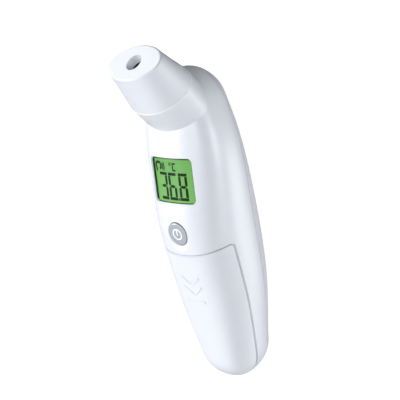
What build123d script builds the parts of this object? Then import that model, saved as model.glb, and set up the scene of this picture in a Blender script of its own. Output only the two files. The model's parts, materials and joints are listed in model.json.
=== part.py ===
from build123d import *
import os
from math import cos, sin, pi, radians
from scipy.interpolate import CubicSpline

# Non-contact infrared thermometer, lying on its back: +X across the handle, +Y along it toward
# the nozzle, +Z out of the display. Modelled about the button centre, then placed on the table.

# ---------------------------------------------------------------- driving dimensions, mm
# station along the handle, half width, height of the front face, height of the back face
STATIONS = [(-75.0, 12.2, -4.4, -28.9), (-61.2, 14.0, -3.2, -30.4), (-49.0, 16.2, -2.2, -32.4),
            (-34.7, 18.3, -1.2, -35.2), (-16.3, 19.4, -0.4, -37.8), (0.0, 19.9, -0.3, -38.9),
            (16.3, 20.6, -3.1, -38.5), (32.7, 20.4, -6.1, -37.6), (49.0, 16.9, -9.5, -37.3),
            (61.5, 11.8, -13.4, -37.8)]
TIP_START, TIP_LENGTH = -61.6, 13.1        # rounded bottom end
HEAD_START, HEAD_LENGTH = 50.9, 12.3       # rounded top end behind the nozzle
SQUARENESS = 2.5                           # superellipse exponent of the handle section
RINGS, POINTS = 13, 24                     # loft sections along the handle, points on each
TILT = 1.8                                 # rest angle on the table, degrees
TABLE_Y, TABLE_Z = -2.38, 38.59            # button centre to the middle of the footprint; 0.3 of
                                           # the back lies below the table and is cut flat

WALL, COVER_WALL = 1.8, 1.6
GAP = 0.3                                  # between the casing and what moves in it
SEAM_Z, SEAM_SLOPE, SEAM_GAP = -26.8, -0.06, 0.25
COVER_TOP_Y, COVER_TOP_CURVE, COVER_CORNER = -9.5, 77.0, 2.0
COVER_SIDE_Z, COVER_SIDE_SLOPE = -11.9, 0.049

NOZZLE_FACE, NOZZLE_ANGLE = (0, 74.2, -1.35), 32.7     # face centre, axis above the handle
# depth behind the face, half width, half height
NOZZLE_RINGS = [(0.0, 14.0, 8.7), (4.0, 14.35, 9.5), (8.5, 14.8, 10.45), (13.0, 15.3, 11.5),
                (17.4, 15.8, 12.4)]
COLLAR_RINGS = [(18.1, 15.85, 12.45), (22.0, 16.0, 12.4), (26.0, 16.15, 12.1), (30.0, 16.3, 11.7),
                (34.0, 16.5, 11.2)]
RECESS_MOUTH, RECESS_FLOOR, RECESS_DEPTH = 3.7, 3.0, 3.4

BUTTON_RADIUS, BUTTON_TRAVEL, BUTTON_TOP = 5.0, 0.5, -0.25
DISH_RADIUS, DISH_DEPTH = 6.7, 0.75
LCD_CENTRE, LCD_TILT = (0, 22.3, -4.2), -8.5
LCD_WIDTH, LCD_HEIGHT, LCD_CORNER = 22.3, 19.0, 1.8
PANE_TOP, PANE_BOTTOM = 0.45, 1.1          # window pane, depths below the skin
STEP_DEPTH, WINDOW_STEP, COVER_STEP = 0.3, 0.5, 0.35   # shallow ledges round window and cover
BOARD_TOP, BOARD_THICK = -14.4, 1.2
CELL_RADIUS, CELL_LENGTH, CELL_X, CELL_Z = 5.25, 44.5, 5.6, -12.0
BAY_LOW, BAY_HIGH = -60.6, -12.2           # inside faces of the battery bay
TRAY_HALF, LIP_HALF, LIP_LOW, LIP_HIGH = 12.4, 13.4, -12.3, -11.3
BOARD_SCREWS = [(side * x, y) for x, y in ((11.3, -3.6), (10.3, 38.6)) for side in (-1, 1)]
TRAY_SCREWS = [(-14.4, -20.0), (14.4, -20.0), (0.0, -64.2)]
BOARD_UNDER = BOARD_TOP - BOARD_THICK

PLACE = Pos(0, TABLE_Y, TABLE_Z) * Rot(TILT, 0, 0)
half_width, front_face, back_face = [
    CubicSpline([s[0] for s in STATIONS], [s[i] for s in STATIONS]) for i in (1, 2, 3)]
os.makedirs("parts", exist_ok=True)


def save(name, *shapes):
    """Place the solids of one node on the table and write its STEP file."""
    solids = [PLACE * s for shape in shapes for s in shape.solids() if s.volume > 0.01]
    export_step(solids[0] if len(solids) == 1 else Compound(children=solids), f"parts/{name}.step")
    print(name, len(solids), round(sum(s.volume for s in solids), 1))


def box(x0, x1, y0, y1, z0, z1):
    return Pos((x0 + x1) / 2, (y0 + y1) / 2, (z0 + z1) / 2) * Box(x1 - x0, y1 - y0, z1 - z0)


def post(x, y, z0, z1, radius):
    return Pos(x, y, (z0 + z1) / 2) * Cylinder(radius, z1 - z0)


def both_sides(shape):
    return shape + mirror(shape, Plane.YZ)


def ring(plane, half_x, half_y, power, y_centre=0.0):
    """Closed superellipse wire in a plane, in a +X and a -X half that meet on the middle plane."""
    def half(side):
        points = []
        for k in range(POINTS // 2 + 1):
            c, s = sin(2 * pi * k / POINTS), side * cos(2 * pi * k / POINTS)
            reach = (abs(c) ** power + abs(s) ** power) ** (-1 / power)
            x, y = side * half_x * reach * c, y_centre + half_y * reach * s
            points.append(plane.from_local_coords((x, y, 0)))
        run = plane.x_dir * (side * half_x * pi)
        return Edge.make_spline(points, tangents=[run, -run], scale=False,
                                parameters=[2 * k / POINTS for k in range(POINTS // 2 + 1)])

    return Wire([half(1), half(-1)])


# ---------------------------------------------------------------- casing volumes
def handle(inset):
    """Whole handle volume, inset evenly below the outer skin."""
    def station(y, rounding=0.0):
        scale = (1 - rounding ** 2) ** 0.45
        top, bottom = float(front_face(y)) - inset, float(back_face(y)) + inset
        plane = Plane(origin=(0, y, 0), x_dir=(1, 0, 0), z_dir=(0, -1, 0))
        return ring(plane, scale * (float(half_width(y)) - inset), scale * (top - bottom) / 2,
                    SQUARENESS, (top + bottom) / 2)

    def pole(y):
        return Vertex(0, y, float(front_face(y) + back_face(y)) / 2)

    ends = (0.16, 0.38, 0.58, 0.74, 0.86, 0.94, 0.985)
    tip, head = TIP_LENGTH - inset, HEAD_LENGTH - inset
    length = HEAD_START - TIP_START - 4
    sections = [pole(TIP_START - tip)] + [station(TIP_START - u * tip, u) for u in reversed(ends)]
    sections += [station(TIP_START + 2 + length * k / (RINGS - 1)) for k in range(RINGS)]
    sections += [station(HEAD_START + u * head, u) for u in ends] + [pole(HEAD_START + head)]
    return Solid.make_loft(sections)


def nozzle_plane(depth):
    """Plane across the nozzle axis, depth behind its face; its normal points out of the face."""
    a = radians(NOZZLE_ANGLE)
    x, y, z = NOZZLE_FACE
    return Plane(origin=(x, y - depth * cos(a), z - depth * sin(a)), x_dir=(1, 0, 0),
                 z_dir=(0, cos(a), sin(a)))


def oval(rings, inset=0.0):
    return Solid.make_loft([ring(nozzle_plane(d), w - inset, h - inset, 2) for d, w, h in rings])


def disc(radius, near, far):
    """Round solid on the nozzle axis between two depths behind the face."""
    return extrude(nozzle_plane(far) * Circle(radius), far - near)


def casing(inset):
    """Handle and collar together; the cavity volumes run out through the collar mouth."""
    mouth = [(17.0, 15.8, 12.4)] if inset else []
    return handle(inset) + oval(mouth + COLLAR_RINGS, inset)


def above(z, slope):
    """Everything above the plane that crosses y = 0 at height z and rises by slope along Y."""
    return extrude(Plane(origin=(0, 0, z), x_dir=(1, 0, 0), z_dir=(0, -slope, 1)) * Rectangle(120, 400), 120)


def cover_zone(gap):
    """Region of the battery cover: below its curved top edge, above its side lines."""
    top = COVER_TOP_Y - gap
    zone = box(-40, 40, -120, 20, -40, 40) & above(COVER_SIDE_Z + gap, COVER_SIDE_SLOPE)
    zone -= post(0, top + COVER_TOP_CURVE, -60, 60, COVER_TOP_CURVE)
    edge = [e for e in zone.edges() if e.length > 30 and abs(e.center().Z - COVER_SIDE_Z) < 3
            and e.center().Y > COVER_TOP_Y - 5]
    return fillet(edge, COVER_CORNER) if edge else zone


skin, core, cavity, clear = casing(0), casing(0.9), casing(WALL), casing(WALL + 0.2)
shell, step = skin - cavity, skin - casing(STEP_DEPTH)

# ---------------------------------------------------------------- display plane
lcd = Plane(origin=LCD_CENTRE, x_dir=(1, 0, 0),
            z_dir=(0, -sin(radians(LCD_TILT)), cos(radians(LCD_TILT))))


def lcd_block(width, height, low, high, corner=0.0, v=0.0):
    """Block in the display plane between two heights along its normal."""
    outline = RectangleRounded(width, height, corner) if corner else Rectangle(width, height)
    return lcd * extrude(Pos(0, v, low) * outline, high - low)


# ---------------------------------------------------------------- front shell
dish_sphere = (DISH_RADIUS ** 2 + DISH_DEPTH ** 2) / (2 * DISH_DEPTH)
front = (shell & above(SEAM_Z, SEAM_SLOPE)) - cover_zone(0)
front -= lcd_block(LCD_WIDTH, LCD_HEIGHT, -9, 4, LCD_CORNER)
front -= step & lcd_block(LCD_WIDTH + 2 * WINDOW_STEP, LCD_HEIGHT + 2 * WINDOW_STEP, -9, 4,
                          LCD_CORNER + WINDOW_STEP)
front -= step & cover_zone(-COVER_STEP)
front += post(0, 0, -6.0, 1, 7.6) & core
front += box(-30, 30, -7.3, -6.2, -40, 5) & core & above(SEAM_Z + 1.4, SEAM_SLOPE)
front -= Pos(0, 0, -0.3 - DISH_DEPTH + dish_sphere) * Sphere(dish_sphere)
front -= post(0, 0, -7, -2.0, 6.6) + post(0, 0, -7, 5, BUTTON_RADIUS + GAP)
front -= both_sides(box(7.6, 10.4, -8, -5, -14.4, -11.6))
for x, y in BOARD_SCREWS:
    front += post(x, y, BOARD_TOP, 5, 2.2) & core
    front -= post(x, y, BOARD_TOP - 1, -9.9, 1.02)
front -= (core - cavity) - above(SEAM_Z + 1.3, SEAM_SLOPE)
save("front_shell", front)

# ---------------------------------------------------------------- rear shell
rear = shell - above(SEAM_Z - SEAM_GAP, SEAM_SLOPE)
rear += ((casing(0.95) - cavity) & above(SEAM_Z - 0.8, SEAM_SLOPE)) - above(SEAM_Z + 1.2, SEAM_SLOPE)
for x, y in TRAY_SCREWS:
    rear += post(x, y, -45, -19.55, 2.3) & core
    rear -= post(x, y, -25, -19, 1.02)
for y, top in ((-52.0, -18.9), (-34.0, -18.9), (8.0, -29.0), (34.0, -30.0)):
    rear += box(-30, 30, y, y + 1.2, -45, top) & core & (skin - above(SEAM_Z - 0.5, SEAM_SLOPE))
rear -= PLACE.inverse() * Pos(0, 0, -5) * Box(80, 200, 10)
save("rear_shell", rear)

# ---------------------------------------------------------------- battery cover
cover = ((skin - casing(COVER_WALL)) & cover_zone(GAP)) - (step - cover_zone(GAP + COVER_STEP))
cover += box(-6, 6, -14.0, -7.9, -3.4, -2.4) + (box(-6, 6, -14.0, -10.2, -3.4, 1) & core)
for y in (-44, -22):
    cover += both_sides((box(13.7, 14.7, y, y + 6, -13.6, 2) & core) + box(12.75, 14.7, y, y + 6, -13.6, -12.6))
save("battery_cover", cover)

# ---------------------------------------------------------------- nozzle and its joint
axis = nozzle_plane(0).z_dir
nozzle = oval(NOZZLE_RINGS)
nozzle = fillet(nozzle.faces().sort_by(Axis((0, 0, 0), axis))[-1].edges(), 0.8)
nozzle -= oval([(2.2, 14.15, 9.1)] + NOZZLE_RINGS[1:-1] + [(17.5, 15.8, 12.4)], WALL) - disc(6.5, 0, 12.0)
nozzle += oval([(15.6, 15.6, 12.0), (17.4, 15.8, 12.4)], 1.5) - oval([(15.5, 15.6, 12.0), (17.5, 15.8, 12.4)], 3.2)
nozzle += oval([(17.4, 15.8, 12.4), (21.5, 15.95, 12.5)], 2.0) - oval([(17.3, 15.8, 12.4), (21.6, 15.95, 12.5)], 3.2)
nozzle -= loft([nozzle_plane(-0.01) * Circle(RECESS_MOUTH), nozzle_plane(RECESS_DEPTH) * Circle(RECESS_FLOOR)])
nozzle -= disc(5.3, RECESS_DEPTH, 12.5)
save("nozzle", nozzle)
save("nozzle_gasket", oval([(17.4, 15.8, 12.4), (17.75, 16.0, 12.6), (18.1, 15.85, 12.45)])
     - oval([(17.3, 15.8, 12.4), (18.2, 15.85, 12.45)], 1.9))

# ---------------------------------------------------------------- infrared sensor
save("sensor_baffle", disc(5.25, RECESS_DEPTH, 6.0) - disc(2.2, RECESS_DEPTH - 1, 7))
save("sensor_sleeve", disc(5.25, 6.05, 12.0) - disc(4.65, 6, 12.1))
save("sensor_can", disc(4.6, 6.1, 10.4) - disc(1.9, 6, 6.35))
save("sensor_filter", disc(1.85, 6.12, 6.34))
save("sensor_board", disc(7.2, 12.05, 13.1) - sum([
    nozzle_plane(14) * Pos(2 * cos(k * pi / 2), 2 * sin(k * pi / 2)) * Cylinder(0.35, 6) for k in range(4)], Part()))
save("sensor_pins", *[nozzle_plane(12.1) * Pos(2 * cos(k * pi / 2), 2 * sin(k * pi / 2)) * Cylinder(0.25, 3.2)
                      for k in range(4)])

# ---------------------------------------------------------------- display
panel_tower = lcd_block(LCD_WIDTH - 0.2, LCD_HEIGHT - 0.2, -5.4, 4, LCD_CORNER)
save("display_window", (casing(PANE_TOP) - casing(PANE_BOTTOM))
     & lcd_block(LCD_WIDTH - 0.1, LCD_HEIGHT - 0.1, -9, 4, LCD_CORNER))
save("lcd_panel", (panel_tower & casing(PANE_BOTTOM + 0.05)) + lcd_block(24.2, 22.6, -5.4, -4.8, 0, 0.6))
save("window_gasket", (lcd_block(24.0, 21.0, -4.78, 0, LCD_CORNER) & clear)
     - lcd_block(LCD_WIDTH + 0.2, LCD_HEIGHT + 0.2, -9, 4, LCD_CORNER))
save("light_guide", lcd_block(24.0, 21.2, -7.3, -5.45))
frame = lcd_block(27.0, 26.4, -8.2, -4.9, 1.0) & clear & box(-60, 60, -60, 120, BOARD_TOP + 0.05, 20)
save("lcd_frame", frame - lcd_block(24.6, 24.8, -7.35, 0, 0.5))
save("backlight_leds", *[lcd * Pos(x, -11.5, -6.5) * Box(3.0, 1.4, 1.4) for x in (-6.5, 6.5)])
save("zebra_strip", lcd_block(21.0, 1.0, -7.3, -5.45, 0, 11.3))

# ---------------------------------------------------------------- power button and switch
cap = fillet(post(0, 0, -2.35, BUTTON_TOP, BUTTON_RADIUS).edges().sort_by(Axis.Z)[-1], 0.4)
save("power_button", cap + post(0, 0, -3.6, -2.35, BUTTON_RADIUS + 1.2) + post(0, 0, -9.35, -3.6, 1.6))
save("tact_switch", box(-3, 3, -3, 3, BOARD_TOP, -10.9) - post(0, 0, -12.5, -10, 1.75))
save("switch_plunger", post(0, 0, -11.8, -9.4, 1.65))

# ---------------------------------------------------------------- main board
board = box(-14, 14, -6.0, 30, BOARD_UNDER, BOARD_TOP) + box(-12.6, 12.6, 30, 41.5, BOARD_UNDER, BOARD_TOP)
for x, y in BOARD_SCREWS:
    board -= post(x, y, -20, -10, 1.2)
save("main_board", board)
save("microcontroller", box(-3.6, 3.6, 8.4, 15.6, BOARD_UNDER - 1.0, BOARD_UNDER))
# centre x, y, then width, length and height of the small parts under the board
SMALL_PARTS = ((-9, 2, 3.2, 1.6, 0.8), (-9, 6, 3.2, 1.6, 0.8), (-9, 10, 2.0, 1.2, 0.7), (9, 3, 3.2, 2.6, 1.4),
               (9, 9, 2.0, 1.2, 0.7), (9, 13, 4.8, 2.0, 1.3), (-9, 18, 3.0, 3.0, 1.0), (9, 20, 2.0, 1.2, 0.7))
save("board_parts", *[box(x - w / 2, x + w / 2, y - d / 2, y + d / 2, BOARD_UNDER - h, BOARD_UNDER)
                      for x, y, w, d, h in SMALL_PARTS])
save("buzzer", post(0, 27.5, BOARD_UNDER - 3.4, BOARD_UNDER, 5.8))
save("sensor_socket", box(-5, 5, 36.4, 40.4, BOARD_UNDER - 2.2, BOARD_UNDER))
ribbon = Spline((0, 62.25, -9.0), (0, 56.5, -12.8), (0, 48.5, -16.9), (0, 40.6, -16.7))
save("sensor_ribbon", sweep(Plane(origin=ribbon @ 0, z_dir=ribbon % 0, x_dir=(1, 0, 0)) * Rectangle(7.0, 0.25),
                            ribbon))

# ---------------------------------------------------------------- battery tray, cells, contacts
tray = box(-TRAY_HALF, TRAY_HALF, BAY_LOW - 1.2, BAY_HIGH + 1.2, -18.8, LIP_HIGH)
tray -= box(1.2 - TRAY_HALF, TRAY_HALF - 1.2, BAY_LOW, BAY_HIGH, -17.5, 0)
tray += both_sides(box(TRAY_HALF, LIP_HALF, -48, -14, LIP_LOW, LIP_HIGH))
tray += box(-0.25, 0.25, BAY_LOW + 1, BAY_HIGH - 1, -17.5, -14)
for x, y in TRAY_SCREWS:
    web = box(min(0.85 * x, x), max(0.85 * x, x), y - 2.3, y + 2.3, -19.5, -17.9) if x else box(
        -2.3, 2.3, y, BAY_LOW, -19.5, -17.9)
    tray += post(x, y, -19.5, -17.9, 2.3) + web
    tray -= post(x, y, -21, -17, 1.2)
save("battery_tray", tray & clear)


def cell(x, low, toward):
    """AAA cell from y = low; its positive end points along Y (toward 1) or against it (-1)."""
    jacket = Rot(-90, 0, 0) * Cylinder(CELL_RADIUS, CELL_LENGTH - 1.2)
    jacket = Pos(0, -0.6 * toward, 0) * fillet(jacket.edges(), 0.4)
    nub = Pos(0, toward * (CELL_LENGTH / 2 - 0.7), 0) * Rot(-90, 0, 0) * Cylinder(1.9, 1.4)
    return Pos(x, low + CELL_LENGTH / 2, CELL_Z) * (jacket + nub)


save("battery_left", cell(-CELL_X, BAY_LOW + 3.4, 1))
save("battery_right", cell(CELL_X, BAY_HIGH - 3.4 - CELL_LENGTH, -1))


def spring(x, y, toward):
    """Contact coil standing on the bay wall at y, reaching toward its cell."""
    coil = Helix(pitch=1.0, height=2.4, radius=3.0)
    wire = sweep(Plane(origin=coil @ 0, z_dir=coil % 0) * Circle(0.3), coil)
    return Pos(x, y + toward * 0.75, CELL_Z) * Rot(-90 * toward, 0, 0) * wire


save("contact_springs", spring(-CELL_X, BAY_LOW, 1), spring(CELL_X, BAY_HIGH, -1))
save("contact_plates", box(-10, 10, BAY_LOW, BAY_LOW + 0.4, -16.5, -11.4),
     *both_sides(box(1.2, 10.2, BAY_HIGH - 0.4, BAY_HIGH, -16.5, -11.4)).solids())
for name, x in (("lead_red", -9.0), ("lead_black", 9.0)):
    path = Spline((x, BAY_HIGH + 1.4, -13.2), (x, -8.5, -12.9), (x, -5.0, -13.75))
    save(name, sweep(Plane(origin=path @ 0, z_dir=path % 0) * Circle(0.6), path))


# ---------------------------------------------------------------- screws
def screw(length, down):
    """Pan-head screw seated at z = 0, its shank pointing up, or down."""
    body = post(0, 0, 0, length, 1.0) + post(0, 0, -1.3, 0, 1.9)
    body -= box(-1.2, 1.2, -0.25, 0.25, -1.4, -0.8) + box(-0.25, 0.25, -1.2, 1.2, -1.4, -0.8)
    return Rot(180 if down else 0, 0, 0) * body


save("board_screws", *[Pos(x, y, BOARD_UNDER) * screw(5.5, False) for x, y in BOARD_SCREWS])
save("tray_screws", *[Pos(x, y, -17.9) * screw(6.0, True) for x, y in TRAY_SCREWS])

outside = (PLACE * (rear + front + nozzle)).bounding_box()
print("outside", outside.min, outside.max)
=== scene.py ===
import json
from math import cos, radians, sin

import bpy
from mathutils import Matrix, Quaternion, Vector
from mathutils.bvhtree import BVHTree


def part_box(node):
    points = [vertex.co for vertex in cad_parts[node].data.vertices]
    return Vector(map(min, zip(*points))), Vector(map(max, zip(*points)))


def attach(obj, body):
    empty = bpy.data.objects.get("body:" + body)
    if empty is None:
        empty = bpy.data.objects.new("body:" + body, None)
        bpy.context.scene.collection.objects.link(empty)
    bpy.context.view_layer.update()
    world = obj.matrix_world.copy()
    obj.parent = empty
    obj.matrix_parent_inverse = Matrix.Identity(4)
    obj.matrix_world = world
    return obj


# Non-contact infrared thermometer lying on its back on a white table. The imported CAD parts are
# the frame and most of the surface; this script adds the display's image, the button's symbol,
# the cover's arrow, every material, the table, the studio's light and the camera. Places are in
# metres, as in the frame; the sizes of what is added are in millimetres, and MM turns them to metres.

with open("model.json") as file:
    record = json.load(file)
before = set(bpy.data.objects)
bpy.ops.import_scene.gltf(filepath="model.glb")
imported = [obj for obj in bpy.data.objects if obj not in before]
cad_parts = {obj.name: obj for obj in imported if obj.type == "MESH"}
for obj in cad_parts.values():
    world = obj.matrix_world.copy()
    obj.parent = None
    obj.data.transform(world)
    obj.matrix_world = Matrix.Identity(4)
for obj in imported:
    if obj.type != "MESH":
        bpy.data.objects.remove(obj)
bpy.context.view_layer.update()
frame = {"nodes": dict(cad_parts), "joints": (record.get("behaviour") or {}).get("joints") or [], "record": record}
MM = 0.001

# ---------------------------------------------------------------- the handle's own axes
PRESS = next(j for j in frame["joints"] if j["name"] == "button_press")
UP = -Vector(PRESS["axis"])                        # out of the button and the front face
RIGHT = Vector((1, 0, 0))
ALONG = UP.cross(RIGHT)                            # toward the nozzle
DISPLAY_TILT = radians(-8.5)                       # the display leans from the button's plane
DISPLAY_UP = Quaternion(RIGHT, DISPLAY_TILT) @ UP
DISPLAY_ALONG = DISPLAY_UP.cross(RIGHT)

# ---------------------------------------------------------------- sizes of what is added
DIGIT_WIDTH, DIGIT_HEIGHT, DIGIT_STROKE, DIGIT_GAP = 4.4, 11.5, 1.25, 0.12
DIGIT_ACROSS, DIGIT_ALONG = (-5.25, -0.2, 5.45), -2.6   # digit centres on the display
READING = "368"
POINT_WIDTH, POINT_STROKE, POINT_RISE = 0.8, 0.9, 0.5   # decimal point, and its rise from the digits' foot
DEGREE_CENTRE, DEGREE_RADIUS, DEGREE_STROKE = (-0.7, 6.7), 0.45, 0.4
UNIT_LEFT, UNIT_RIGHT, UNIT_TOP, UNIT_FOOT = 0.45, 2.3, 6.9, 4.1
UNIT_STROKE, UNIT_GAP = 0.7, 0.4                   # the gap is from a bar's middle line to the upright
HEAD_CENTRE, HEAD_RADIUS, HEAD_STRETCH, HEAD_STROKE = (-7.8, 5.7), 1.7, 0.9, 1.0
HEAD_CHIN, HEAD_NAPE = -40, 215                    # ends of the head's arc, in degrees
NAPE_LINE = ((-9.2, 4.9), (-8.85, 3.3))            # from the head down the back of the neck
CHIN_LINE = ((-6.5, 4.8), (-6.9, 4.2))
WAVE_CENTRE, WAVE_RADII, WAVE_HALF, WAVE_STROKE = (-7.5, 5.5), (2.45, 3.35), 32, 0.62
INK_LIFT, INK_THICK = 0.012, 0.02                  # display image above the panel
TIP_HALF = 0.03                                    # half the width left at a bar's blunt point
BORDER_SHADOW_WIDE, BORDER_THIN, BORDER_SOFT = 0.55, 0.15, 0.12   # printed border of the display's window, widened on its left and far sides by painted shadow of the window's rim
BORDER_OPACITY, PANE_OPACITY = 0.92, 0.02
BAND_LENGTH, CELL_END = 13, 1.8                    # coloured band and bare end of a cell
SYMBOL_RADIUS, SYMBOL_STROKE, SYMBOL_FOOT = 2.25, 0.52, -0.5   # the foot of the symbol's bar
SYMBOL_LIFT, SYMBOL_THICK = 0.002, 0.03
ARROW_LIFT, ARROW_THICK, ARROW_BEVEL = -0.25, 0.55, 0.12   # cover arrow: sunk foot, whole thickness
ARROW_TOP, ARROW_HALF, ARROW_DROP, ARROW_PITCH = 21.0, 5.0, 3.8, 4.6   # from the cover's middle
ARROW_STROKE, ARROW_STEP, ARROW_FOOT_GAP = 1.1, 0.4, 3.2   # the bar lies this far below the chevrons
RAY_START = 20                                     # drawings are laid down from this far out

# bars of a seven-bar digit: lit for which figures, centre (share of width, height), upright
BARS = (("02356789", 0, 1, False), ("0235689", 0, -1, False), ("2345689", 0, 0, False),
        ("045689", -1, 0.5, True), ("01234789", 1, 0.5, True),
        ("0268", -1, -0.5, True), ("013456789", 1, -0.5, True))

CAMERA_PLACE = Vector((0.3420, 0.1726, 0.3470))
CAMERA_AIM = Vector((0.0005, 0.0062, 0.0219))
CAMERA_ROLL = radians(-12.9)
CAMERA_LENS, CAMERA_SENSOR = 108, 36               # millimetres

FLOOR_SIDE, FLOOR_GLOW = 3.0, 0.92

# broad patches of light in the studio: direction, tightness, strength
PATCHES = (((-0.71, 0.18, 0.68), 40, 19.5),        # key, high on the left
           ((0.32, 0.32, 0.90), 40, 7.4),          # high, beyond the nozzle
           ((1.00, 0.00, 0.05), 40, 9.4),          # right, level
           ((0.69, -0.35, -0.63), 40, 5.6),        # low on the right
           ((-0.75, 0.66, 0.03), 40, 5.0),         # beyond the nozzle, level
           ((-0.25, -0.73, 0.63), 8, 1.6),         # near end
           ((0.50, -0.70, -0.50), 30, 2.2),        # near end, low on the right
           ((-0.30, -0.75, -0.59), 4, 0.5))        # near end, low
STUDIO_FILL = 0.04
STUDIO_TINT = (0.955, 0.975, 1.0)


# ---------------------------------------------------------------- geometry helpers
def corners(node):
    return [v.co for v in frame["nodes"][node].data.vertices]


def middle(node, direction):
    """Centre of a node's extent along a direction."""
    reach = [c.dot(direction) for c in corners(node)]
    return (min(reach) + max(reach)) / 2


def centre_of(node, out, along):
    """Middle of a node's box along RIGHT and two directions square to it."""
    return sum((axis * middle(node, axis) for axis in (RIGHT, along, out)), Vector())


def surface_of(node):
    mesh = frame["nodes"][node].data
    return BVHTree.FromPolygons([v.co for v in mesh.vertices], [p.vertices for p in mesh.polygons])


class Sheet:
    """Flat drawing plane laid down onto the surface of a node, in millimetres from its origin."""

    def __init__(self, node, out, along, origin):
        self.surface, self.out, self.along, self.origin = surface_of(node), out, along, origin

    def point(self, u, v, lift):
        start = self.origin + RIGHT * (u * MM) + self.along * (v * MM) + self.out * (RAY_START * MM)
        place = self.surface.ray_cast(start, -self.out)[0]
        return place + self.out * (lift * MM)


def strip(path, width, tips=(False, False), across=2):
    """Rows of points either side of a path; tips says which ends run to a blunt point."""
    rows, run = [], 0.0
    lengths = [(b - a).length for a, b in zip(path, path[1:])]
    total = sum(lengths)
    for i, place in enumerate(path):
        ahead = path[min(i + 1, len(path) - 1)] - path[max(i - 1, 0)]
        side = Vector((-ahead.y, ahead.x)).normalized()
        half = width / 2
        for pointed, left in zip(tips, (run, total - run)):
            if pointed:
                half = min(half, max(TIP_HALF, left))
        rows.append([place + side * half * (2 * k / across - 1) for k in range(across + 1)])
        run += lengths[i] if i < len(lengths) else 0.0
    return rows


def line(start, end, step=0.25):
    """Evenly spaced points from start to end."""
    start, end = Vector(start), Vector(end)
    count = max(2, round((end - start).length / step))
    return [start.lerp(end, k / count) for k in range(count + 1)]


def arc(centre, radius, start, end, stretch=1.0):
    """Points on an arc between two angles in degrees; stretch is its height to width."""
    count = max(6, round(abs(end - start) / 9))
    angles = [radians(start + (end - start) * k / count) for k in range(count + 1)]
    return [Vector((centre[0] + radius * cos(a), centre[1] + radius * stretch * sin(a))) for a in angles]


def raised(name, sheet, strips, lift, thickness, body, slot, bevel=0.0):
    """One piece of thin closed solids that follow the surface under the sheet."""
    places, faces = [], []
    for rows in strips:
        first, wide, count = len(places), len(rows[0]), len(rows) * len(rows[0])
        for level in (lift, lift + thickness):
            places += [sheet.point(p.x, p.y, level) for row in rows for p in row]
        for i in range(len(rows) - 1):
            for k in range(wide - 1):
                a = first + i * wide + k
                faces.append((a, a + 1, a + wide + 1, a + wide))
                b = a + count
                faces.append((b, b + wide, b + wide + 1, b + 1))
        rim = list(range(wide)) + [i * wide + wide - 1 for i in range(1, len(rows))]
        rim += [(len(rows) - 1) * wide + k for k in range(wide - 2, -1, -1)]
        rim += [i * wide for i in range(len(rows) - 2, 0, -1)]
        for a, b in zip(rim, rim[1:] + rim[:1]):
            faces.append((first + a, first + a + count, first + b + count, first + b))
    mesh = bpy.data.meshes.new(name)
    mesh.from_pydata(places, [], faces)
    mesh.validate()
    piece = bpy.data.objects.new(name, mesh)
    bpy.context.scene.collection.objects.link(piece)
    if bevel:
        edge = piece.modifiers.new("edge", "BEVEL")
        edge.width, edge.segments, edge.limit_method = bevel * MM, 3, "ANGLE"
    piece.data.materials.append(MATERIALS[slot])
    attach(piece, body)


# ---------------------------------------------------------------- material helpers
def maths_output(tree, kind, one, other):
    """Output of a Math node in a node tree; each input is a number or another node's output."""
    node = tree.nodes.new("ShaderNodeMath")
    node.operation = kind
    for socket, value in zip(node.inputs, (one, other)):
        if isinstance(value, (int, float)):
            socket.default_value = value
        else:
            tree.links.new(value, socket)
    return node.outputs[0]


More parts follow.
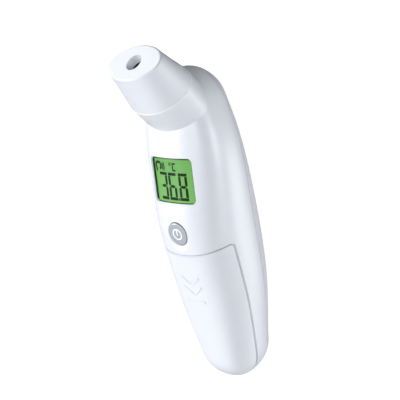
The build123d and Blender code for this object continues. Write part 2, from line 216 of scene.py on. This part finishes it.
class Finish:
    """A Principled material whose colour, roughness and bump come from procedural nodes."""

    def __init__(self, name, **sockets):
        self.material = bpy.data.materials.new(name)
        self.material.use_nodes = True
        self.nodes, self.links = self.material.node_tree.nodes, self.material.node_tree.links
        self.nodes.clear()
        self.skin = self.nodes.new("ShaderNodeBsdfPrincipled")
        output = self.nodes.new("ShaderNodeOutputMaterial")
        self.links.new(self.skin.outputs["BSDF"], output.inputs["Surface"])
        self.place = self.nodes.new("ShaderNodeTexCoord").outputs["Object"]
        self.height = None
        for key, value in sockets.items():
            self.skin.inputs[key.replace("_", " ").title().replace("Ior", "IOR")].default_value = value

    def mapped(self, size, stretch=(1, 1, 1)):
        """Object coordinates in units of size, in millimetres, stretched."""
        node = self.nodes.new("ShaderNodeMapping")
        node.inputs["Scale"].default_value = [1 / (size * MM * s) for s in stretch]
        self.links.new(self.place, node.inputs["Vector"])
        return node.outputs["Vector"]

    def noise(self, size, detail=3.0, stretch=(1, 1, 1)):
        node = self.nodes.new("ShaderNodeTexNoise")
        node.inputs["Scale"].default_value = 1.0
        node.inputs["Detail"].default_value = detail
        self.links.new(self.mapped(size, stretch), node.inputs["Vector"])
        return node.outputs["Fac"]

    def cells(self, size):
        node = self.nodes.new("ShaderNodeTexVoronoi")
        node.inputs["Scale"].default_value = 1.0
        self.links.new(self.mapped(size), node.inputs["Vector"])
        return node.outputs["Distance"]

    def waves(self, size, direction):
        node = self.nodes.new("ShaderNodeTexWave")
        node.bands_direction = direction
        node.inputs["Scale"].default_value = 1.0
        node.inputs["Distortion"].default_value = 0.4
        self.links.new(self.mapped(size), node.inputs["Vector"])
        return node.outputs["Fac"]

    def spread(self, source, low, high, source_low=0.3, source_high=0.7):
        """The source's middle range mapped to low and high."""
        node = self.nodes.new("ShaderNodeMapRange")
        self.links.new(source, node.inputs["Value"])
        limits = {"From Min": source_low, "From Max": source_high, "To Min": low, "To Max": high}
        for key, value in limits.items():
            node.inputs[key].default_value = value
        return node.outputs["Result"]

    def blend(self, source, one, other):
        """Colour between one and other; each is a colour or another node's output."""
        node = self.nodes.new("ShaderNodeMix")
        node.data_type = "RGBA"
        self.links.new(source, node.inputs["Factor"])
        for socket, value in ((node.inputs[6], one), (node.inputs[7], other)):
            if isinstance(value, (tuple, list)):
                socket.default_value = (*value, 1)
            else:
                self.links.new(value, socket)
        return node.outputs[2]

    def maths(self, kind, one, other):
        return maths_output(self.material.node_tree, kind, one, other)

    def along(self, direction):
        """Distance along a direction from the origin, in metres."""
        node = self.nodes.new("ShaderNodeVectorMath")
        node.operation = "DOT_PRODUCT"
        node.inputs[1].default_value = direction
        self.links.new(self.place, node.inputs[0])
        return node.outputs["Value"]

    def between(self, direction, low, high, soft=0.05):
        """1 where the place along a direction lies from low to high, in metres, and else 0."""
        place = self.along(direction)
        rise = self.spread(place, 0, 1, low - soft * MM, low + soft * MM)
        fall = self.spread(place, 1, 0, high - soft * MM, high + soft * MM)
        return self.maths("MULTIPLY", rise, fall)

    def colour(self, source):
        self.links.new(source, self.skin.inputs["Base Color"])

    def rough(self, source):
        self.links.new(source, self.skin.inputs["Roughness"])

    def bump(self, source, depth):
        """Adds relief of a depth in millimetres on what is there."""
        node = self.nodes.new("ShaderNodeBump")
        node.inputs["Distance"].default_value = depth * MM
        self.links.new(source, node.inputs["Height"])
        if self.height:
            self.links.new(self.height, node.inputs["Normal"])
        self.height = node.outputs["Normal"]
        self.links.new(self.height, self.skin.inputs["Normal"])
        return self


def shade(colour, share):
    return tuple(c * share for c in colour)


def plastic(name, colour, roughness, other=None, grain=0.35, depth=0.003, sink=0.012, **sockets):
    """Moulded plastic: slow colour drift, uneven gloss, fine grain and faint sink waves."""
    finish = Finish(name, **sockets)
    finish.colour(finish.blend(finish.noise(9, 2), colour, other or shade(colour, 0.955)))
    finish.rough(finish.spread(finish.noise(2.2, 4), roughness - 0.05, roughness + 0.06))
    finish.bump(finish.noise(14, 1), sink).bump(finish.noise(grain, 2), depth)
    return finish.material


def rubber(name, colour, roughness=0.75):
    """Matt rubber or foam: open pores and dusty patches."""
    finish = Finish(name, specular_ior_level=0.35)
    finish.colour(finish.blend(finish.noise(1.6, 4), colour, tuple(c * 1.5 + 0.006 for c in colour)))
    finish.rough(finish.spread(finish.noise(0.9, 3), roughness - 0.08, roughness + 0.1))
    finish.bump(finish.cells(0.3), 0.02)
    return finish.material


def metal(name, colour, roughness=0.28, stretch=(1, 1, 1)):
    """Bare or plated metal: drawn or stamped streaks and duller patches."""
    finish = Finish(name, metallic=1.0)
    finish.colour(finish.blend(finish.noise(3, 4), colour, shade(colour, 0.8)))
    finish.rough(finish.spread(finish.noise(0.8, 4, stretch), roughness - 0.1, roughness + 0.14))
    finish.bump(finish.noise(0.25, 3, stretch), 0.004)
    return finish.material


def circuit_board(name):
    """Green solder mask over copper tracks, with a woven glass relief."""
    finish = Finish(name, coat_weight=0.25, coat_roughness=0.2)
    mask = finish.blend(finish.noise(5, 3), (0.012, 0.115, 0.04), (0.018, 0.16, 0.055))
    tracks = finish.spread(finish.waves(1.3, "DIAGONAL"), 0, 1, 0.78, 0.86)
    ground = finish.spread(finish.noise(4.5, 0), 0, 1, 0.5, 0.52)
    lit = finish.maths("MULTIPLY", tracks, ground)
    finish.colour(finish.blend(lit, mask, (0.05, 0.27, 0.085)))
    finish.rough(finish.spread(finish.noise(1.1, 3), 0.28, 0.42))
    finish.bump(lit, 0.03).bump(finish.cells(0.4), 0.006)
    return finish.material


def chip(name, colour):
    """Moulded epoxy or ceramic package: sandy matt surface with a dust of lighter grains."""
    finish = Finish(name)
    speck = finish.spread(finish.cells(0.16), 1, 0, 0.05, 0.3)
    finish.colour(finish.blend(speck, colour, tuple(c * 1.7 + 0.01 for c in colour)))
    finish.rough(finish.spread(finish.noise(0.5, 3), 0.5, 0.68))
    finish.bump(finish.noise(0.12, 2), 0.01)
    return finish.material


def battery(name, node, far):
    """Cell in a plain wrapped sleeve between bare nickel ends, with a band by its positive end."""
    finish = Finish(name)
    reach = [c.dot(ALONG) for c in corners(node)]
    low, high = min(reach), max(reach)
    sleeve = finish.between(ALONG, low + CELL_END * MM, high - CELL_END * MM)
    ends = (high - BAND_LENGTH * MM, high) if far else (low, low + BAND_LENGTH * MM)
    band = finish.between(ALONG, *ends)
    wrap = finish.blend(finish.noise(2.5, 3), (0.018, 0.05, 0.13), (0.03, 0.075, 0.18))
    copper = finish.blend(finish.noise(2.5, 3), (0.45, 0.2, 0.075), (0.36, 0.15, 0.055))
    nickel = finish.blend(finish.noise(1.5, 3), (0.62, 0.6, 0.56), (0.5, 0.48, 0.45))
    finish.colour(finish.blend(sleeve, nickel, finish.blend(band, wrap, copper)))
    finish.links.new(finish.spread(sleeve, 1.0, 0.25, 0, 1), finish.skin.inputs["Metallic"])
    finish.rough(finish.spread(finish.noise(1.4, 4), 0.24, 0.38))
    finish.bump(finish.noise(0.5, 2), 0.004).bump(sleeve, 0.08)
    return finish.material


def ribbon_film(name):
    """Amber film over parallel copper tracks."""
    finish = Finish(name, coat_weight=0.4, coat_roughness=0.12)
    track = finish.spread(finish.waves(0.35, "X"), 0, 1, 0.45, 0.6)
    film = finish.blend(finish.noise(3, 3), (0.42, 0.15, 0.02), (0.5, 0.2, 0.03))
    finish.colour(finish.blend(track, film, (0.62, 0.32, 0.09)))
    finish.rough(finish.spread(finish.noise(1.2, 3), 0.25, 0.4))
    finish.bump(track, 0.02)
    return finish.material


def display_face(name):
    """Lit green face: brighter over the lamps at its lower edge, with the diffuser's mottle."""
    finish = Finish(name, emission_strength=0.55, specular_ior_level=0.15)
    near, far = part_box("lcd_panel")
    glow = finish.spread(finish.along(Vector((0, 1, 0))), 1, 0, near.y, far.y)
    mottle = finish.spread(finish.noise(2.4, 3), -0.12, 0.12)
    light = finish.maths("ADD", glow, mottle)
    finish.colour(finish.blend(light, (0.075, 0.21, 0.05), (0.09, 0.245, 0.06)))
    green = finish.blend(light, (0.17, 0.42, 0.11), (0.21, 0.5, 0.13))
    finish.links.new(green, finish.skin.inputs["Emission Color"])
    finish.rough(finish.spread(finish.noise(0.7, 3), 0.42, 0.56))
    finish.bump(finish.noise(0.2, 2), 0.003)
    return finish.material


def window_pane(name):
    """Clear pane with a printed dark green border; on its left and far sides the border is widened by painted
    shadow of the window's rim.
    """
    finish = Finish(name, specular_ior_level=0.3)
    clear = None
    # the wide left and far sides are painted shadow of the window's rim; the thin sides are the printed border
    for direction, low_side, high_side in ((RIGHT, BORDER_SHADOW_WIDE, BORDER_THIN),
                                           (DISPLAY_ALONG, BORDER_THIN, BORDER_SHADOW_WIDE)):
        reach = [c.dot(direction) for c in corners("display_window")]
        low, high = min(reach) + low_side * MM, max(reach) - high_side * MM
        inside = finish.between(direction, low, high, BORDER_SOFT)
        clear = finish.maths("MULTIPLY", clear, inside) if clear else inside
    opacity = finish.spread(clear, BORDER_OPACITY, PANE_OPACITY, 0, 1)
    finish.links.new(opacity, finish.skin.inputs["Alpha"])
    finish.colour(finish.blend(finish.noise(2, 2), (0.022, 0.075, 0.02), (0.03, 0.095, 0.028)))
    finish.rough(finish.spread(finish.noise(3, 4), 0.1, 0.2))
    finish.bump(finish.noise(11, 1), 0.01)
    return finish.material


def clear_pane(name, tint, opacity):
    """Clear moulded pane: nearly see-through, with a thin gloss and faint flow marks."""
    finish = Finish(name, alpha=opacity, specular_ior_level=0.6)
    finish.colour(finish.blend(finish.noise(8, 2), tint, shade(tint, 0.93)))
    finish.rough(finish.spread(finish.noise(3, 4), 0.05, 0.13))
    finish.bump(finish.noise(11, 1), 0.01)
    return finish.material


def button_finish(name):
    """Satin silver-grey paint: radially uneven, with metallic flake."""
    finish = Finish(name, metallic=0.35, coat_weight=0.3, coat_roughness=0.25)
    flake = finish.spread(finish.cells(0.09), 0, 1, 0.1, 0.5)
    base = finish.blend(finish.noise(3.5, 3), (0.34, 0.375, 0.43), (0.41, 0.445, 0.495))
    finish.colour(finish.blend(finish.spread(flake, 0, 0.35, 0, 1), base, (0.56, 0.58, 0.61)))
    finish.rough(finish.spread(finish.noise(1.0, 4), 0.34, 0.48))
    finish.bump(finish.noise(0.14, 2), 0.005)
    return finish.material


def ink(name, colour, roughness=0.5, **sockets):
    """Printed or liquid-crystal mark: dense ink that thins a little in places."""
    finish = Finish(name, **sockets)
    finish.colour(finish.blend(finish.noise(1.3, 3), colour, tuple(c * 1.35 + 0.004 for c in colour)))
    finish.rough(finish.spread(finish.noise(0.6, 3), roughness - 0.08, roughness + 0.1))
    finish.bump(finish.noise(0.15, 2), 0.002)
    return finish.material


WHITE = (0.80, 0.815, 0.86)
COOL = (0.775, 0.79, 0.845)
MATERIALS = {
    "casing_white": plastic("casing_white", WHITE, 0.34, COOL, coat_weight=0.25, coat_roughness=0.18),
    "cover_white": plastic("cover_white", WHITE, 0.36, COOL, coat_weight=0.2, coat_roughness=0.2),
    "nozzle_white": plastic("nozzle_white", WHITE, 0.34, COOL, coat_weight=0.25, coat_roughness=0.18),
    # gasket whiter than the casing so the nozzle joint shows as a bright line: partly the gasket's own white,
    # partly a painted highlight along the joint
    "gasket_rubber": plastic("gasket_rubber", (0.92, 0.93, 0.95), 0.42, grain=0.2),
    "baffle_black": rubber("baffle_black", (0.012, 0.012, 0.014)),
    "sleeve_metal": metal("sleeve_metal", (0.55, 0.42, 0.24)),
    "can_metal": metal("can_metal", (0.66, 0.65, 0.63), 0.22),
    "filter_dark": plastic("filter_dark", (0.02, 0.022, 0.03), 0.14, grain=0.2, depth=0.001, metallic=0.5),
    "board_green": circuit_board("board_green"),
    "contact_metal": metal("contact_metal", (0.72, 0.69, 0.62), 0.24, (1, 3, 1)),
    "window_clear": window_pane("window_clear"),
    "lcd_face": display_face("lcd_face"),
    "foam_black": rubber("foam_black", (0.015, 0.015, 0.016), 0.85),
    "acrylic_clear": clear_pane("acrylic_clear", (0.8, 0.86, 0.84), 0.35),
    "frame_white": plastic("frame_white", (0.74, 0.74, 0.72), 0.5),
    "led_cream": plastic("led_cream", (0.82, 0.8, 0.66), 0.35),
    "zebra_rubber": rubber("zebra_rubber", (0.2, 0.2, 0.21), 0.6),
    "button_grey": button_finish("button_grey"),
    "switch_black": chip("switch_black", (0.02, 0.02, 0.022)),
    "plunger_white": plastic("plunger_white", (0.72, 0.71, 0.68), 0.45),
    "chip_black": chip("chip_black", (0.014, 0.014, 0.016)),
    "chip_brown": chip("chip_brown", (0.22, 0.14, 0.085)),
    "buzzer_black": chip("buzzer_black", (0.018, 0.018, 0.02)),
    "socket_cream": plastic("socket_cream", (0.72, 0.66, 0.52), 0.48),
    "ribbon_amber": ribbon_film("ribbon_amber"),
    "tray_white": plastic("tray_white", (0.66, 0.67, 0.68), 0.5, grain=0.25, depth=0.008),
    "cell_jacket": battery("cell_jacket", "battery_left", True),
    "cell_jacket_turned": battery("cell_jacket_turned", "battery_right", False),
    "lead_red": plastic("lead_red", (0.42, 0.018, 0.014), 0.42, grain=0.15),
    "lead_black": plastic("lead_black", (0.014, 0.014, 0.015), 0.42, grain=0.15),
    "screw_steel": metal("screw_steel", (0.6, 0.6, 0.61), 0.3, (2, 2, 1)),
    "lcd_ink": ink("lcd_ink", (0.006, 0.02, 0.006), specular_ior_level=0.08),
    "symbol_white": ink("symbol_white", (0.86, 0.87, 0.9), 0.4),
}
NODE_MATERIALS = {"battery_right": "cell_jacket_turned"}   # this cell lies the other way round


def finish_nodes():
    """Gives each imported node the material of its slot."""
    for part in frame["record"]["subparts"]:
        node = frame["nodes"][part["node"]]
        node.data.materials.clear()
        slot = NODE_MATERIALS.get(part["node"], part["material_slot"])
        node.data.materials.append(MATERIALS[slot])


# ---------------------------------------------------------------- the display's image
def bar(digit_u, share_u, share_v, upright):
    """One bar of a digit, as a strip that stops short of its neighbours."""
    half_w, half_h = (DIGIT_WIDTH - DIGIT_STROKE) / 2, (DIGIT_HEIGHT - DIGIT_STROKE) / 2
    if upright:
        u, side = digit_u + share_u * half_w, 1 if share_v > 0 else -1
        inner, outer = side * DIGIT_GAP, side * (half_h - DIGIT_STROKE / 2 - DIGIT_GAP)
        return strip(line((u, DIGIT_ALONG + inner), (u, DIGIT_ALONG + outer)), DIGIT_STROKE, (True, False))
    v = DIGIT_ALONG + share_v * half_h
    reach = half_w + DIGIT_STROKE / 2 if share_v else half_w - DIGIT_GAP
    middle_bar = share_v == 0
    return strip(line((digit_u - reach, v), (digit_u + reach, v)), DIGIT_STROKE, (middle_bar, middle_bar))


def draw_display():
    centre = centre_of("display_window", DISPLAY_UP, DISPLAY_ALONG)
    panel = Sheet("lcd_panel", DISPLAY_UP, DISPLAY_ALONG, centre)

    def show(name, strips):
        raised(name, panel, strips, INK_LIFT, INK_THICK, "casing", "lcd_ink")

    for place, (across, figure) in enumerate(zip(DIGIT_ACROSS, READING)):
        show(f"display_digit_{place + 1}", [bar(across, *spec[1:]) for spec in BARS if figure in spec[0]])
    point = (DIGIT_ACROSS[1] + DIGIT_ACROSS[2]) / 2
    low = DIGIT_ALONG - DIGIT_HEIGHT / 2 + POINT_RISE
    dot = line((point - POINT_WIDTH / 2, low), (point + POINT_WIDTH / 2, low), 0.15)
    show("display_point", [strip(dot, POINT_STROKE)])
    show("display_degree", [strip(arc(DEGREE_CENTRE, DEGREE_RADIUS, 0, 360), DEGREE_STROKE)])
    upright = UNIT_LEFT + UNIT_STROKE / 2
    show("display_unit", [strip(line(start, end), UNIT_STROKE) for start, end in (
        ((UNIT_LEFT, UNIT_TOP), (UNIT_RIGHT, UNIT_TOP)),
        ((upright, UNIT_TOP - UNIT_GAP), (upright, UNIT_FOOT + UNIT_GAP)),
        ((UNIT_LEFT, UNIT_FOOT), (UNIT_RIGHT, UNIT_FOOT)))])
    skull = arc(HEAD_CENTRE, HEAD_RADIUS, HEAD_CHIN, HEAD_NAPE, HEAD_STRETCH)
    show("display_head", [strip(path, HEAD_STROKE) for path in (skull, line(*NAPE_LINE), line(*CHIN_LINE))])
    show("display_waves", [strip(arc(WAVE_CENTRE, radius, -WAVE_HALF, WAVE_HALF), WAVE_STROKE)
                           for radius in WAVE_RADII])


# ---------------------------------------------------------------- button symbol and cover arrow
def draw_button():
    cap = Sheet("power_button", UP, ALONG, centre_of("power_button", UP, ALONG))
    ring = arc((0, 0), SYMBOL_RADIUS, 0, 360)
    stem = line((0, SYMBOL_FOOT), (0, SYMBOL_RADIUS - SYMBOL_STROKE / 2))
    marks = [strip(path, SYMBOL_STROKE) for path in (ring, stem)]
    raised("button_symbol", cap, marks, SYMBOL_LIFT, SYMBOL_THICK, "button", "symbol_white")


def draw_cover():
    lid = Sheet("battery_cover", UP, ALONG, centre_of("battery_cover", UP, ALONG))
    paths = [line((side * ARROW_HALF, level), (0, level - ARROW_DROP), ARROW_STEP)
             for level in (ARROW_TOP, ARROW_TOP - ARROW_PITCH) for side in (-1, 1)]
    foot = ARROW_TOP - ARROW_PITCH - ARROW_DROP - ARROW_FOOT_GAP
    paths.append(line((-ARROW_HALF, foot), (ARROW_HALF, foot), ARROW_STEP))
    marks = [strip(path, ARROW_STROKE, across=3) for path in paths]
    raised("cover_arrow", lid, marks, ARROW_LIFT, ARROW_THICK, "cover", "cover_white", bevel=ARROW_BEVEL)


# ---------------------------------------------------------------- table, studio and camera
def add_floor():
    half = FLOOR_SIDE / 2
    mesh = bpy.data.meshes.new("table_top")
    places = [(-half, -half, 0), (half, -half, 0), (half, half, 0), (-half, half, 0)]
    mesh.from_pydata(places, [], [(0, 1, 2, 3)])
    floor = bpy.data.objects.new("table_top", mesh)
    bpy.context.scene.collection.objects.link(floor)
    finish = Finish("table_white", emission_strength=FLOOR_GLOW, emission_color=(1, 1, 1, 1))
    finish.colour(finish.blend(finish.noise(60, 2), (0.2, 0.2, 0.2), (0.19, 0.19, 0.195)))
    finish.rough(finish.spread(finish.noise(8, 3), 0.7, 0.85))
    mesh.materials.append(finish.material)
    # the table lights, mirrors and shades nothing; the patches of light stand in for its bounce
    floor.visible_diffuse = floor.visible_glossy = floor.visible_shadow = False


def add_world():
    """Studio dome: an even dim fill and broad soft patches of light."""
    world = bpy.data.worlds.new("studio")
    world.use_nodes = True
    tree = world.node_tree
    direction = tree.nodes.new("ShaderNodeTexCoord").outputs["Generated"]
    total = STUDIO_FILL
    for toward, tightness, strength in PATCHES:
        facing = tree.nodes.new("ShaderNodeVectorMath")
        facing.operation = "DOT_PRODUCT"
        facing.inputs[1].default_value = Vector(toward).normalized()
        tree.links.new(direction, facing.inputs[0])
        patch = maths_output(tree, "MAXIMUM", facing.outputs["Value"], 0.0)
        patch = maths_output(tree, "POWER", patch, tightness)
        patch = maths_output(tree, "MULTIPLY", patch, strength)
        total = maths_output(tree, "ADD", patch, total)
    background = tree.nodes["Background"]
    background.inputs["Color"].default_value = (*STUDIO_TINT, 1)
    tree.links.new(total, background.inputs["Strength"])
    bpy.context.scene.world = world


def add_camera():
    data = bpy.data.cameras.new("view")
    data.lens, data.sensor_width = CAMERA_LENS, CAMERA_SENSOR
    camera = bpy.data.objects.new("view", data)
    back = (CAMERA_PLACE - CAMERA_AIM).normalized()
    upright = (Vector((0, 1, 0)) - back * back.y).normalized()
    upright = Quaternion(back, CAMERA_ROLL) @ upright
    turn = Matrix((upright.cross(back), upright, back)).transposed()
    camera.matrix_world = Matrix.Translation(CAMERA_PLACE) @ turn.to_4x4()
    bpy.context.scene.collection.objects.link(camera)
    bpy.context.scene.camera = camera


add_camera()
finish_nodes()
draw_display()
draw_button()
draw_cover()
add_floor()
add_world()
bpy.context.scene.view_settings.view_transform = "Standard"

bpy.context.view_layer.update()
